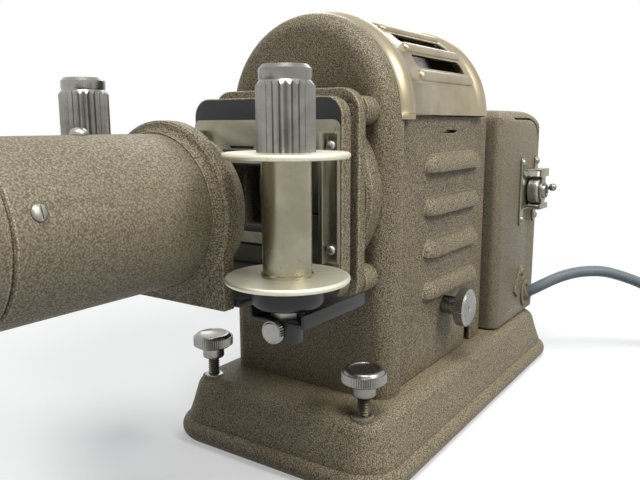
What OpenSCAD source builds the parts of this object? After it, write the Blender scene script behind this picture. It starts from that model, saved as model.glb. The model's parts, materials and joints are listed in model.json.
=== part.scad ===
/* [Base] */
// Width of the base over its rolled lip
base_w = 116; // [112:0.5:124]
// Length of the base over its rolled lip
base_l = 224; // [222:0.5:236]
// Height of the base deck above the table
deck_z = 28.3; // [27:0.1:31]
// Thickness of the base metal
base_wall = 2.5; // [2:0.1:3]
// Radius of the rolled lip
lip_r = 4.5; // [4:0.1:5]
// Corner radius of the lip, seen from above
base_corner = 20; // [18:0.5:24]
// Thickness of the bottom plate
bottom_t = 1.5; // [1:0.1:2]

/* [Elevating screws] */
// Distance of each elevating screw from the middle plane
screw_x = 40.5; // [39:0.1:41.5]
// Distance of the elevating screws ahead of the middle of the base
screw_ahead = 96.3; // [95:0.1:97]
// Radius of the elevating screw's thread
thread_r = 2.6; // [2.3:0.1:2.9]
// Pitch of the elevating screw's thread
thread_pitch = 1.06; // [1:0.02:1.2]
// Radius of the knurled head
head_r = 9; // [8:0.1:10]
// Distance that the elevating screw can be turned down
screw_travel = 7.5; // [5:0.1:7.5]

/* [Lamp house] */
// Width of the front shell
house_w = 84; // [82:0.2:86]
// Height of the arch centre above the table
arch_z = 147; // [145:0.5:150]
// Distance of the front face ahead of the middle of the base
front_ahead = 81; // [80:0.1:81.5]
// Depth of the front shell's side flange
flange_depth = 14.5; // [13.5:0.1:15.5]
// Edge radius of the front shell
front_round = 8; // [7:0.1:8.5]
// Distance of the rear wall behind the middle of the base
house_back = 31; // [30:0.1:32]
// Thickness of the house sheet
sheet = 1.6; // [1.4:0.1:1.8]
// Step from the front shell in to the side panels
panel_step = 3.1; // [2.8:0.1:3.4]

/* [Louvres] */
// Number of louvres on each side
louvre_count = 4; // [2:1:4]
// Distance between two louvres
louvre_pitch = 19.3; // [18:0.1:20]
// Height of a louvre
louvre_h = 8; // [6:0.1:9]
// Distance that a louvre stands out
louvre_out = 4.5; // [3.5:0.1:5]
// Length of a louvre's mouth
louvre_l = 61; // [50:1:62]
// Height of the lowest louvre above the table
louvre_z = 64; // [62:0.5:66]

/* [Top cover] */
// Thickness of the top cover sheet
cover_t = 1.3; // [1:0.1:1.4]
// Length of the top cover
cover_l = 93.7; // [92:0.1:94]
// Height of the two raised bands
band_h = 2.3; // [1.5:0.1:2.5]
// Width of the raised bands
band_w = 12.8; // [11:0.1:14]
// Length of the cooling slots
slot_l = 52; // [44:1:54]
// Angle that one cooling slot takes on the arch
slot_angle = 9.2; // [8:0.1:9.4]
// Radius of the raised ribs between the slots
rib_r = 2.6; // [2:0.1:2.7]
// Radius of the hinge pin
hinge_pin_r = 1.2; // [1:0.05:1.3]

/* [Optics] */
// Height of the lens axis above the table
axis_z = 115.2; // [114.5:0.1:116]
// Outer radius of the lens sleeve
lens_r = 25.2; // [24.5:0.1:26]
// Wall of the lens sleeve
lens_wall = 2.5; // [2.3:0.1:2.6]
// Outer radius of the condenser drum
drum_r = 39; // [37:0.1:39.5]
// Travel of the lens when it is focused
focus_travel = 9; // [6:0.5:9]
// Width of the film picture
frame_w = 36; // [24:1:36]
// Height of the film picture
frame_h = 24; // [18:1:24]

/* [Gate] */
// Half width of the two gate plates
plate_half = 36.8; // [36.4:0.1:37.4]
// Thickness of the rear gate plate
rear_plate_t = 5; // [4:0.1:5.2]
// Thickness of the front gate plate
front_plate_t = 6; // [5.5:0.1:6.3]
// Gap between the gate plates for a slide carrier
slide_gap = 5.8; // [5.4:0.1:6]
// Length of the posts between the lamp house and the gate
post_l = 9.1; // [8.5:0.1:9.5]
// Half length of the pressure plate
pressure_half = 22; // [21.5:0.1:23]
// Distance that the pressure plate opens
pressure_travel = 1.5; // [1:0.1:1.6]

/* [Film spools] */
// Distance of each spool from the middle plane
spool_x = 46.85; // [46.5:0.05:47.5]
// Distance of the spools ahead of the middle of the base
spool_ahead = 153.8; // [153:0.1:154.4]
// Radius of the spool flanges
flange_r = 19.3; // [18.5:0.1:20]
// Distance between the middles of the flanges
flange_gap = 37.4; // [36.5:0.1:38]
// Radius of the spool core
core_r = 7.6; // [7:0.1:8]
// Radius of the fluted knob
knob_r = 8.9; // [8.4:0.1:9.2]
// Number of flutes round the knob
flute_count = 24; // [20:1:28]
// Radius of the fixed spindle inside a spool
spindle_r = 3; // [2.5:0.1:3.3]

/* [Blower box] */
// Width of the blower box
box_w = 91.4; // [90:0.2:93]
// Length of the blower box
box_l = 69; // [68:0.5:72]
// Height of the blower box
box_h = 120.9; // [119:0.1:123]
// Radius of its top rear corner
box_top_r = 22; // [18:0.5:24]
// Radius of the blower wheel
fan_r = 21; // [18:0.5:22]
// Number of blower blades
fan_blades = 8; // [5:1:12]

/* [Mains lead] */
// Diameter of the mains lead
cord_d = 6.5; // [6:0.1:6.8]
// Radius of the outer turn of the stored coil
coil_r = 48; // [46:0.1:50]
// Space between two turns of the coil
turn_gap = 0.6; // [0.6:0.05:0.9]

/* [Hidden] */
$fn = 48;

// Finishes
paint = [0.42, 0.38, 0.31];
nickel = [0.72, 0.71, 0.64];
steel = [0.62, 0.62, 0.6];
bright = [0.82, 0.83, 0.84];
black = [0.09, 0.09, 0.09];
brass = [0.72, 0.58, 0.3];
clear_glass = [0.75, 0.85, 0.88, 0.5];
rubber = [0.32, 0.36, 0.39];

// Clearances
run = 0.06; // radial clearance of a turning fit
slack = 0.1; // radial clearance between fixed pieces
part_gap = 0.3; // space between pieces that move past each other

// Planes across the object, from front to back
front_y = -front_ahead;
flange_y = front_y + flange_depth;
screw_y = -screw_ahead;
spool_y = -spool_ahead;
rear_plate_y = front_y - post_l;
channel_y = rear_plate_y - rear_plate_t;
front_plate_y = channel_y - slide_gap;
gate_y = front_plate_y - front_plate_t;

// Base
half_w = base_w / 2;
half_l = base_l / 2;
foot_in = lip_r - 1;
crease_z = 10.5;
shoulder_z = 22.5;
shoulder_in = 7.5;
deck_in = 15;
deck_corner = base_corner - deck_in;
boss_r = 5.2;
plate_inset = 10.5;
pad_r = 5.6;
pad_z = 0.6;
pad_top = 4.8;
pad_hole_r = pad_r + 0.8;
pin_r = 1.6;
pin_z = 2.2;
bushing_r = 3.6;
bushing_rim_r = 4.15;
bushing_rim = 0.8;
shoulder_bottom = deck_z + bushing_rim + screw_travel + 0.4;
shoulder_r = 4.9;
head_z = shoulder_bottom + 5.4;
head_h = 6;
knurl_teeth = 56;
knurl_depth = 0.45;
knurl_in = 0.65;

// Lamp house
shell_r = house_w / 2;
panel_x = shell_r - panel_step;
shell_edge = shell_r - front_round;
ledge_r = shell_r - sheet;
panel_in = panel_x - sheet;
lap_y = flange_y + 8.5;
cover_seam = 0.4;
panel_foot = 0.6;
cover_front = front_y + 9 + part_gap;
cover_back = cover_front + cover_l;
cover_in = shell_r - cover_t;
cover_lip = 4;
rim_r = panel_x;
rim_l = 20;
notch_y = [9.9, 17.9];
notch_z = 37.4;
lance = [15.2, 1.5];
lance_y = -15.2;
lance_z = 139.7;
hood_t = 1.2;
louvre_mid = -11.5;
screw_hole_y = -17;
screw_hole_z = 56.2;
shank_r = 2.5;
side_knob_r = 9.26;
side_knob_x = 52.4;
slot_mid = -21;
slot_corner = 2;
slot_angles = [17, 37, 56.7];
rib_angles = [26.9, 46.9, 66.6];
crown_angle = 24.8;
hinge_x = -(shell_r + 2.9);
hinge_z = arch_z - 1.5;
knuckle_r = 2.4;
leaf_y = [-40, -10];
cover_knuckles = [[-56, -40.3], [-9.7, 6]];
lamp_y = 8;
lamp_r = 18;
lamp_base_z = 62;
duct_z = 70;
duct_r = 20;

// Condenser and gate
drum_back = 33;
condenser_r = 30;
barrel_back = front_y + 20;
post_x = 32.1;
post_z = [81.5, 148.5];
post_r = 5.6;
stud_r = 2.5;
rear_plate_z = [73, 157];
front_plate_z = [76.5, 153.5];
rail_h = 4;
gate_t = 1;
shelf_z = [84.8, 87.4];
gate_z = [shelf_z[1] + slack, 145];
gate_half = plate_half - 0.6;
gate_face = gate_y - gate_t;
guide_x = [29.8, 36.2];
guide_z = [91.8, 140.8];
guide_t = 1.2;
guide_rib = 1.6;
guide_rise = 3;
gate_screw_x = 33.4;
gate_screw_z = [97, 135.7];
pressure_z = [axis_z - 19.4, axis_z + 18];
pressure_t = 4.5;
pressure_back = gate_face - part_gap;
pressure_front = pressure_back - pressure_t;
guide_pin_x = 17;
guide_pin_z = 15.9;
guide_pin_r = 1.5;
leaf_rise = 1.8;
pin_head_y = pressure_front - leaf_rise - pressure_travel - part_gap;

// Lens head
shelf_half = 29;
bracket_y = [spool_y - 6.8, spool_y - 1.8];
bracket_r = lens_r + 4.2;
bracket_half = 26.6;
bracket_foot = shelf_z[0] - 0.5;
sleeve_back = bracket_y[1] + 8;
sleeve_front = bracket_y[1] - 72.4;
bore_r = lens_r - lens_wall;
neck_l = 12;
neck_r = bore_r + 1.2;
ring_l = 30;
ring_gap = 0.6;
ring_front = sleeve_front - ring_l;
cell_r = bore_r - slack;
cell_in = cell_r - 2.2;
cell_y = [ring_front + 3.5, bracket_y[1] - 14];
guide_angle = 17.3;
guide_screw_y = sleeve_front + 7.3;
guide_tip_r = 1.4;
top_screw_y = spool_y - 37.2;

// Spools
arm_t = 1.4;
arm_z = shelf_z[0] - arm_t;
arm_half = 10.6;
arm_front = 6.2;
arm_lip = 4.4;
arm_lip_t = 1.2;
bar_y = [-145, -125];
hub_r = 4.8;
hub_h = 6.4;
nut_z = shelf_z[0];
nut_h = 2.9;
nut_r = 5.35;
nut_turn = -22.7;
seat_h = 7.8;
seat_r = 10.9;
seat_top = nut_z + nut_h + seat_h;
flange_t = 1.9;
lower_flange_z = seat_top + part_gap;
upper_flange_z = lower_flange_z + flange_gap;
knob_z = upper_flange_z + flange_t;
knob_h = 21;
cap_h = 4.2;
cap_r = 7.9;
neck_of_core = 6;
spindle_top = upper_flange_z - 3;
brake_r = 3.65;
brake_z = arm_z - 1.8;
brake_y = -arm_front - 0.3;

// Blower box
box_front = house_back + 7.5;
box_back = box_front + box_l;
box_half = box_w / 2;
box_z = deck_z + 1.2;
box_top = box_z + box_h;
box_foot_r = 6;
box_edge_r = 7;
seam_in = 4;
seam_gap = 1.3;
seam_front = box_front + 23;
seam_foot = box_z + 6.5;
motor_r = 27;
motor_y = [box_front + 23.5, box_front + 53];
fan_y = [box_front + 5, box_front + 15];
hub_fan_r = 8;
shaft_r = 2.5;
post_places = [for (x = [-37, 37], y = [-62, 66]) [x, y]];
deck_screw_places = [for (x = [-32, 32], y = [box_front + 12, box_back - 14]) [x, y]];
switch_y = box_back - 21.5;
switch_z = deck_z + 75.7;
lead_y = box_back - 19.1;
lead_z = deck_z + 11.7;
lead_tilt = 32;
relief_out = 3;
relief_l = 12;
relief_r = 4.4;
lever_pivot = box_half + 7;
lever_rest = 18;
lever_l = 7.8;
lever_ball_r = 2.25;
lever_pin_r = 0.7;
bushing_out = 11;

// Route of the mains lead from the strain relief to the coil
lead_route = [
  [48.3, 88.4, 41.6], [51.7, 88.5, 43.7], [55, 89.3, 45.8], [60, 91.8, 48.9], [65, 95.2, 51.5],
  [70.5, 99.3, 53.5], [76, 103.2, 54.6], [82, 107.6, 54.9], [88, 112.9, 54], [94.5, 118.9, 51.5],
  [100, 124.3, 48.8], [104.5, 129, 46.2], [110, 134.5, 42.6], [116, 140, 38.2], [122.5, 145.5, 32.8],
  [129, 150.5, 27.1], [135.5, 155, 21.6], [142, 159, 17.1], [149, 162.7, 13.6], [156, 165.8, 11.3],
  [163.5, 167.2, 10.5]
];
cord_r = cord_d / 2;
lead_end = lead_route[len(lead_route) - 1];
coil_x = lead_end.x + cord_d;
coil_y = lead_end.y - coil_r;
coil_pitch = cord_d + turn_gap;
coil_turns = 3.375;
coil_floor = cord_r + 0.15;
coil_rings = 24;
coil_half = 0.5;
tail_l = 42;
tail_rings = 6;
total_turns = 2 * coil_turns + coil_half;

// Points of an arc and of a curve pulled towards a corner
function arc(c, r, a0, a1, n) =
  [for (i = [0:n]) c + r * [cos(a0 + (a1 - a0) * i / n), sin(a0 + (a1 - a0) * i / n)]];
function curve(a, b, c, n) =
  [for (i = [0:n]) let (t = i / n) (1 - t) * (1 - t) * a + 2 * t * (1 - t) * b + t * t * c];

// Outline of a knurled or fluted edge
function toothed(r, depth, n) =
  [for (i = [0:2 * n - 1]) (i % 2 == 0 ? r : r - depth) * [cos(180 * i / n), sin(180 * i / n)]];
function fluted(r, depth, n) =
  [for (i = [0:6 * n - 1]) let (a = 60 * i / n) (r - depth * (0.5 - 0.5 * cos(n * a))) * [cos(a), sin(a)]];

// Outline of an oblong whose corners are rounded in short flats
function soft_corners(x, y, r) = concat(arc([x - r, y - r], r, 0, 90, 4), arc([r - x, y - r], r, 90, 180, 4),
  arc([r - x, r - y], r, 180, 270, 4), arc([x - r, r - y], r, 270, 360, 4));

// Placing helpers: a turned profile holds points of radius and place along the axis
module turned_y(x, z, angle = 360) {
  translate([x, 0, z]) rotate([90, 0, 0]) rotate_extrude(angle = angle) mirror([0, 1]) children();
}
module turned_x(y, z) {
  translate([0, y, z]) rotate([90, 0, 90]) rotate_extrude() children();
}
module turned_z(x, y) {
  translate([x, y, 0]) rotate_extrude() children();
}
module rod_x(y, z, r, x0, x1) {
  translate([x0, y, z]) rotate([0, 90, 0]) cylinder(r = r, h = x1 - x0);
}
module rod_y(x, z, r, y0, y1) {
  translate([x, y1, z]) rotate([90, 0, 0]) cylinder(r = r, h = y1 - y0);
}
module rod_z(x, y, r, z0, z1) {
  translate([x, y, z0]) cylinder(r = r, h = z1 - z0);
}
module block(low, high) {
  translate(low) cube(high - low);
}
module round_rect(low, high, r) {
  translate([low.x + r, low.y]) square([high.x - low.x - 2 * r, high.y - low.y]);
  translate([low.x, low.y + r]) square([high.x - low.x, high.y - low.y - 2 * r]);
  for (x = [low.x + r, high.x - r], y = [low.y + r, high.y - r]) translate([x, y]) circle(r);
}
module plate_y(low, high, r, y0, y1) {
  translate([0, y1, 0]) rotate([90, 0, 0]) linear_extrude(y1 - y0) round_rect(low, high, r);
}
module plate_x(y0, y1, z0, z1, x0, x1) {
  translate([x0, 0, 0]) rotate([90, 0, 90]) linear_extrude(x1 - x0) round_rect([y0, z0], [y1, z1], (y1 - y0) / 2 - 0.2);
}
module both_sides() {
  children();
  mirror([1, 0, 0]) children();
}

// Base
module pan_profile() {
  outer = concat([[foot_in, lip_r], [foot_in, crease_z], [5.5, 16]],
    curve([shoulder_in, shoulder_z], [8.8, deck_z], [deck_in, deck_z], 10), [[deck_in + 1, deck_z]]);
  inner = concat([[deck_in + 1, deck_z - base_wall]],
    curve([deck_in, deck_z - base_wall], [shoulder_in + 3.6, deck_z - base_wall],
      [shoulder_in + base_wall, shoulder_z - 1], 8),
    [[5.5 + base_wall, 15.4], [foot_in + base_wall, crease_z], [foot_in + base_wall, lip_r]]);
  polygon(concat(outer, inner));
  translate([lip_r, lip_r]) circle(lip_r);
}
module deck_outline() {
  inset = deck_in + 0.5;
  round_rect([inset - half_w, inset - half_l], [half_w - inset, half_l - inset], deck_corner - 0.5);
}
module screw_place(side) {
  translate([side * screw_x, screw_y, 0]) children();
}
module base_pan() {
  color(paint) difference() {
    union() {
      for (turn = [[0, half_w, half_l], [90, half_l, half_w], [180, half_w, half_l], [270, half_l, half_w]])
        rotate([0, 0, turn[0]]) translate([turn[1], turn[2] - base_corner, 0]) rotate([90, 0, 0])
          linear_extrude(2 * (turn[2] - base_corner)) mirror([1, 0]) pan_profile();
      for (corner = [[1, 1, 0], [-1, 1, 90], [-1, -1, 180], [1, -1, 270]])
        translate([corner.x * (half_w - base_corner), corner.y * (half_l - base_corner), 0])
          rotate([0, 0, corner.z]) rotate_extrude(angle = 90)
            translate([base_corner, 0]) mirror([1, 0]) pan_profile();
      translate([0, 0, deck_z - base_wall]) linear_extrude(base_wall) deck_outline();
      for (side = [-1, 1]) screw_place(side) rod_z(0, 0, boss_r, shoulder_z, deck_z);
      for (p = post_places) rod_z(p.x, p.y, 4, bottom_t, deck_z - 1);
    }
    for (side = [-1, 1]) screw_place(side) rod_z(0, 0, bushing_r + slack, 0, deck_z + 1);
    for (p = post_places) rod_z(p.x, p.y, 1.6, 0, 14);
    for (p = deck_screw_places) rod_z(p.x, p.y, 2 + slack, deck_z - 4, deck_z + 1);
  }
}
module bottom_plate() {
  inset = plate_inset;
  color(black) difference() {
    linear_extrude(bottom_t) round_rect([inset - half_w, inset - half_l], [half_w - inset, half_l - inset], 10);
    for (side = [-1, 1]) screw_place(side) rod_z(0, 0, pad_hole_r, -1, bottom_t + 1);
  }
}
module deck_screws() {
  color(steel) for (p = deck_screw_places) {
    rod_z(p.x, p.y, 3.6, deck_z - base_wall - 2.2, deck_z - base_wall);
    rod_z(p.x, p.y, 2, deck_z - base_wall - 0.5, box_z + sheet + 2.6);
    rod_z(p.x, p.y, 3.6, box_z + sheet, box_z + sheet + 2.4);
    difference() {
      rod_z(p.x, p.y, 5, deck_z, box_z);
      rod_z(p.x, p.y, 1.9, deck_z - 1, box_z + 1);
    }
  }
}
module screw_bushings() {
  color(steel) for (side = [-1, 1]) screw_place(side) turned_z(0, 0) difference() {
    polygon([[0, deck_z - 5], [bushing_r, deck_z - 5], [bushing_r, deck_z], [bushing_rim_r, deck_z],
      [bushing_rim_r, deck_z + 0.5], [bushing_rim_r - 0.5, deck_z + bushing_rim], [0, deck_z + bushing_rim]]);
    translate([0, deck_z - 6]) square([thread_r + run, 8]);
  }
}
function thread_points(z0, z1) =
  [for (i = [0:round((z1 - z0) / thread_pitch * 2)])
    [i % 2 == 0 ? thread_r : thread_r - 0.5, min(z0 + i * thread_pitch / 2, z1)]];
module elevating_screw(side) {
  thread_z = pad_top + 0.4;
  color(bright) screw_place(side) {
    turned_z(0, 0) polygon(concat(
      [[0, pin_z], [pin_r, pin_z], [pin_r, thread_z]],
      thread_points(thread_z, shoulder_bottom - 0.6),
      [[shoulder_r - 1.6, shoulder_bottom]],
      curve([shoulder_r - 1.2, shoulder_bottom], [shoulder_r, shoulder_bottom], [shoulder_r, shoulder_bottom + 1.2], 4),
      [[shoulder_r, head_z], [head_r - 1.2, head_z], [head_r - knurl_in, head_z + 0.8],
        [head_r - knurl_in, head_z + 4.6], [head_r - 1.2, head_z + 5.6], [head_r - 1.8, head_z + head_h],
        [head_r - 2.6, head_z + head_h]],
      curve([head_r - 2.8, head_z + head_h - 0.2], [head_r - 4.5, head_z + head_h - 1.1], [0, head_z + head_h - 1.1], 4)));
    translate([0, 0, head_z + 0.8]) linear_extrude(3.8) difference() {
      polygon(toothed(head_r, knurl_depth, knurl_teeth));
      circle(head_r - 1.5);
    }
  }
}
module swivel_pad(side) {
  color(black) screw_place(side) turned_z(0, 0) difference() {
    polygon([[0, pad_z], [pad_r - 0.6, pad_z], [pad_r, pad_z + 0.6], [pad_r, pad_top - 1.6], [3.4, pad_top], [0, pad_top]]);
    translate([0, pin_z - part_gap]) square([pin_r + run, pad_top]);
  }
}

// Lamp house
module shell_arch_profile() {
  inner_r = ledge_r - sheet;
  polygon(concat([[0, front_y]], arc([shell_edge, front_y + front_round], front_round, -90, 0, 12),
    [[shell_r, cover_front - part_gap], [ledge_r, cover_front - part_gap], [ledge_r, flange_y],
      [inner_r, flange_y]],
    arc([inner_r - 5.4, front_y + sheet + 5.4], 5.4, 0, -90, 8), [[0, front_y + sheet]]));
}
module shell_side_profile() {
  inner_r = ledge_r - sheet;
  polygon(concat([[0, front_y]], arc([shell_edge, front_y + front_round], front_round, -90, 0, 12),
    [[shell_r, flange_y - 3]], curve([shell_r, flange_y - 2.8], [shell_r, flange_y - 1.4], [shell_r - 1.5, flange_y - 1], 4),
    curve([shell_r - 1.7, flange_y - 0.9], [panel_x, flange_y - 0.8], [panel_x, flange_y], 4),
    [[panel_in - slack, flange_y], [panel_in - slack, lap_y], [panel_in - slack - sheet, lap_y],
      [panel_in - slack - sheet, flange_y - 1], [inner_r, flange_y - 4]],
    arc([inner_r - 5.4, front_y + sheet + 5.4], 5.4, 0, -90, 8), [[0, front_y + sheet]]));
}
module front_shell() {
  color(paint) difference() {
    union() {
      turned_y(0, arch_z, 180) shell_arch_profile();
      both_sides() translate([0, 0, deck_z]) linear_extrude(arch_z - deck_z) shell_side_profile();
    }
    rod_y(0, axis_z, drum_back + slack, front_y - 1, front_y + 6);
    for (x = [-post_x, post_x], z = post_z) rod_y(x, z, stud_r + slack, front_y - 1, front_y + 8);
  }
}
module hood_section(h, out) {
  steps = 10;
  polygon(concat([[0, -sheet]], [for (i = [0:steps]) let (a = 90 * i / steps) [h * sin(a), out * cos(a)]],
    [[h, -sheet]]));
}
module louvre(h, out, l) {
  translate([panel_x, louvre_mid, 0]) {
    translate([0, l / 2 - h, 0]) rotate([90, 0, 0]) linear_extrude(l - 2 * h)
      mirror([1, 0]) rotate([0, 0, 90]) hood_section(h, out);
    for (side = [0, 1]) mirror([0, side, 0]) translate([0, l / 2 - h, 0])
      rotate([0, 90, 0]) rotate([0, 0, 90]) rotate_extrude(angle = 90) hood_section(h, out);
  }
}
module panel_sheet() {
  block([panel_in, flange_y + 0.2, deck_z + panel_foot], [panel_x, house_back - sheet, arch_z - cover_seam]);
}
module side_panel() {
  difference() {
    union() {
      panel_sheet();
      for (i = [0:louvre_count - 1]) translate([0, 0, louvre_z + i * louvre_pitch]) louvre(louvre_h, louvre_out, louvre_l);
      block([panel_in, house_back - sheet - 0.01, deck_z + panel_foot], [panel_x, house_back, arch_z - cover_seam]);
    }
    for (i = [0:louvre_count - 1]) translate([-0.01, 0, louvre_z + i * louvre_pitch - 0.01])
      louvre(louvre_h - hood_t, louvre_out - hood_t, louvre_l - 2 * hood_t);
    block([panel_in - 1, notch_y[0], 0], [panel_x + 1, notch_y[1], notch_z]);
    block([panel_in - 1, lance_y - lance.x / 2, lance_z - lance.y / 2],
      [panel_x + 1, lance_y + lance.x / 2, lance_z + lance.y / 2]);
  }
}
module side_panel_right() {
  color(paint) difference() {
    union() {
      side_panel();
      rod_x(screw_hole_y, screw_hole_z, 5.5, panel_in - 4, panel_in + 0.5);
    }
    rod_x(screw_hole_y, screw_hole_z, shank_r + run, panel_in - 6, panel_x + 1);
  }
}
module side_panel_left() {
  color(paint) mirror([1, 0, 0]) side_panel();
}
module rear_wall() {
  color(paint) difference() {
    union() {
      rod_y(0, arch_z, rim_r, house_back - sheet, house_back);
      block([-panel_in, house_back - sheet, deck_z], [panel_in, house_back, arch_z]);
      turned_y(0, arch_z, 180) translate([rim_r - sheet, house_back - rim_l]) square([sheet, rim_l]);
    }
    rod_y(0, duct_z, duct_r, house_back - 4, house_back + 1);
    block([-shell_r, house_back - 4, arch_z - shell_r], [-panel_in, house_back + 1, arch_z]);
    block([panel_in, house_back - 4, arch_z - shell_r], [shell_r, house_back + 1, arch_z]);
  }
}
function band(y0, rise, out) =
  [for (i = [0:10]) [out + rise * sin(18 * i), y0 + band_w * i / 10]];
module cover_band_end() {
  translate([0, 0, arch_z - 2]) linear_extrude(2.4) polygon(concat(
    [[shell_r + 0.1, cover_front + 0.3]], band(cover_front + 0.3, band_h, shell_r + 0.1)));
}
module cover_profile() {
  rear_band = cover_back - band_w - 0.3;
  outer = concat([[shell_r, cover_front]], band(cover_front + 0.3, band_h, shell_r), band(rear_band, band_h, shell_r),
    [[shell_r, cover_back]]);
  inner = concat([[cover_in, cover_front]], band(cover_front + 0.3, band_h, cover_in), band(rear_band, band_h, cover_in),
    [[cover_in, cover_back]]);
  polygon(concat(outer, [for (i = [len(inner) - 1:-1:0]) inner[i]]));
  translate([rim_r + part_gap, cover_back - cover_lip]) square([cover_in - rim_r - part_gap + 0.5, cover_lip]);
}
module on_arch(angle, r) {
  translate([0, 0, arch_z]) rotate([0, angle, 0]) translate([0, 0, r]) children();
}
module slot_cut(angle) {
  width = 2 * shell_r * sin(slot_angle / 2);
  on_arch(angle, shell_r - 6) translate([0, slot_mid, 0]) linear_extrude(14)
    polygon(soft_corners(width / 2, slot_l / 2, slot_corner));
}
module rib(angle, y0, y1, r, lift) {
  on_arch(angle, shell_r + lift) {
    rod_y(0, 0, r, y0 + r, y1 - r);
    for (y = [y0 + r, y1 - r]) translate([0, y, 0]) sphere(r);
  }
}
module top_cover() {
  color(nickel) difference() {
    union() {
      turned_y(0, arch_z, 180) cover_profile();
      for (a = rib_angles, side = [-1, 1]) rib(side * a, slot_mid - slot_l / 2 - 2, slot_mid + slot_l / 2 + 3, rib_r, 0.4);
      for (side = [-1, 1]) rib(side * crown_angle / 4, slot_mid - slot_l / 2 - 2, slot_mid + slot_l / 2 + 3, rib_r, 0.4);
      cover_band_end();
      for (k = cover_knuckles) {
        rod_y(hinge_x, hinge_z, knuckle_r, k[0], k[1]);
        block([hinge_x, k[0], hinge_z + 0.9], [-cover_in - 0.3, k[1], hinge_z + knuckle_r]);
      }
      block([panel_in - 2.6, lance_y - 5, lance_z - 4], [panel_in - 1.2, lance_y + 5, arch_z + 4]);
      block([panel_in - 2.6, lance_y - 5, arch_z + 2.4], [cover_in, lance_y + 5, arch_z + 4]);
    }
    for (a = slot_angles, side = [-1, 1]) slot_cut(side * a);
    rod_y(hinge_x, hinge_z, hinge_pin_r + run, -60, 10);
  }
}
module hinge_leaf() {
  color(nickel) difference() {
    union() {
      block([-panel_x - 1.4, leaf_y[0] - 6, hinge_z - 13.5], [-panel_x, leaf_y[1] + 6, hinge_z - 1]);
      rod_y(hinge_x, hinge_z, knuckle_r, leaf_y[0], leaf_y[1]);
      block([hinge_x, leaf_y[0], hinge_z - knuckle_r], [-panel_x, leaf_y[1], hinge_z - 0.9]);
    }
    rod_y(hinge_x, hinge_z, hinge_pin_r, leaf_y[0] - 1, leaf_y[1] + 1);
  }
}
module hinge_pin() {
  color(steel) rod_y(hinge_x, hinge_z, hinge_pin_r, cover_knuckles[0][0] - 1, cover_knuckles[1][1] + 1);
}
module panel_screw() {
  rim_x = side_knob_x - 5.4;
  color(bright) {
    turned_x(screw_hole_y, screw_hole_z) polygon([[0, panel_in - 7], [shank_r - 0.5, panel_in - 7],
      [shank_r, panel_in - 6.4], [shank_r, panel_x + part_gap], [4.4, panel_x + part_gap], [4.4, rim_x - 0.6],
      [side_knob_r - 1.4, rim_x - 0.2], [side_knob_r - knurl_in, rim_x + 0.4],
      [side_knob_r - knurl_in, side_knob_x - 0.8], [side_knob_r - 1.6, side_knob_x],
      [2.4, side_knob_x], [1.2, side_knob_x - 0.9], [0, side_knob_x - 0.9]]);
    translate([rim_x + 0.4, screw_hole_y, screw_hole_z]) rotate([0, 90, 0]) linear_extrude(4.2) difference() {
      polygon(toothed(side_knob_r, knurl_depth, knurl_teeth));
      circle(side_knob_r - 1.5);
    }
  }
}

// Lamp
module lamp_bulb() {
  color(clear_glass) turned_z(0, lamp_y) polygon(concat([[0, lamp_base_z + 17], [11, lamp_base_z + 17]],
    curve([12, lamp_base_z + 18], [lamp_r - 1, lamp_base_z + 20], [lamp_r, lamp_base_z + 30], 6),
    arc([0, arch_z + 17], lamp_r, 0, 90, 12)));
}
module lamp_base() {
  color(brass) turned_z(0, lamp_y) polygon([[0, lamp_base_z], [9, lamp_base_z], [13, lamp_base_z + 3],
    [13, lamp_base_z + 8], [16, lamp_base_z + 8], [16, lamp_base_z + 9.2], [13, lamp_base_z + 9.2],
    [13, lamp_base_z + 17], [0, lamp_base_z + 17]]);
}
module lamp_socket() {
  color(black) turned_z(0, lamp_y) difference() {
    polygon([[0, 44], [14, 44], [18.5, 52], [18.5, lamp_base_z + 6.5], [0, lamp_base_z + 6.5]]);
    polygon([[0, lamp_base_z - slack], [9, lamp_base_z - slack], [13.2, lamp_base_z + 3 - slack],
      [13.2, lamp_base_z + 8], [0, lamp_base_z + 8]]);
  }
}
module socket_bracket() {
  color(steel) {
    block([-16, lamp_y - 14, 42], [16, lamp_y + 14, 44]);
    for (x = [-16, 14.4]) block([x, lamp_y - 12, deck_z], [x + 1.6, lamp_y + 12, 42]);
    for (x = [-26, 14.4]) block([x, lamp_y - 12, deck_z], [x + 11.6, lamp_y + 12, deck_z + 1.6]);
  }
}
module reflector() {
  dish_y = house_back - sheet;
  color(bright) {
    turned_y(0, axis_z) polygon([[0, dish_y - 1], [10, dish_y - 1.3], [18, dish_y - 2.3], [18.4, dish_y - 1.8],
      [10, dish_y - 0.2], [4, dish_y], [0, dish_y]]);
  }
}

// Condenser and gate
module condenser_barrel() {
  color(paint) turned_y(0, axis_z) difference() {
    polygon([[condenser_r, rear_plate_y], [drum_r - 1.5, rear_plate_y], [drum_r, rear_plate_y + 1.5],
      [drum_r, front_y], [drum_back, front_y], [drum_back, barrel_back], [condenser_r, barrel_back]]);
    for (y = [rear_plate_y + 12, barrel_back - 3]) translate([condenser_r, y]) circle(0.5);
  }
}
module lens_pair(y_flat, way) {
  turned_y(0, axis_z) polygon(concat([[0, y_flat]], [[condenser_r - slack, y_flat], [condenser_r - slack, y_flat + 2 * way]],
    curve([condenser_r - slack, y_flat + 2 * way], [condenser_r * 0.5, y_flat + 9 * way], [0, y_flat + 9 * way], 12)));
}
module condenser_lenses() {
  color(clear_glass) {
    lens_pair(rear_plate_y + 2.5, 1);
    lens_pair(barrel_back - 2.5, -1);
  }
}
module mounting_posts() {
  color(paint) for (x = [-post_x, post_x], z = post_z) {
    rod_y(x, z, post_r, rear_plate_y, front_y);
    rod_y(x, z, stud_r, channel_y, front_y + 6);
  }
}
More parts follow.
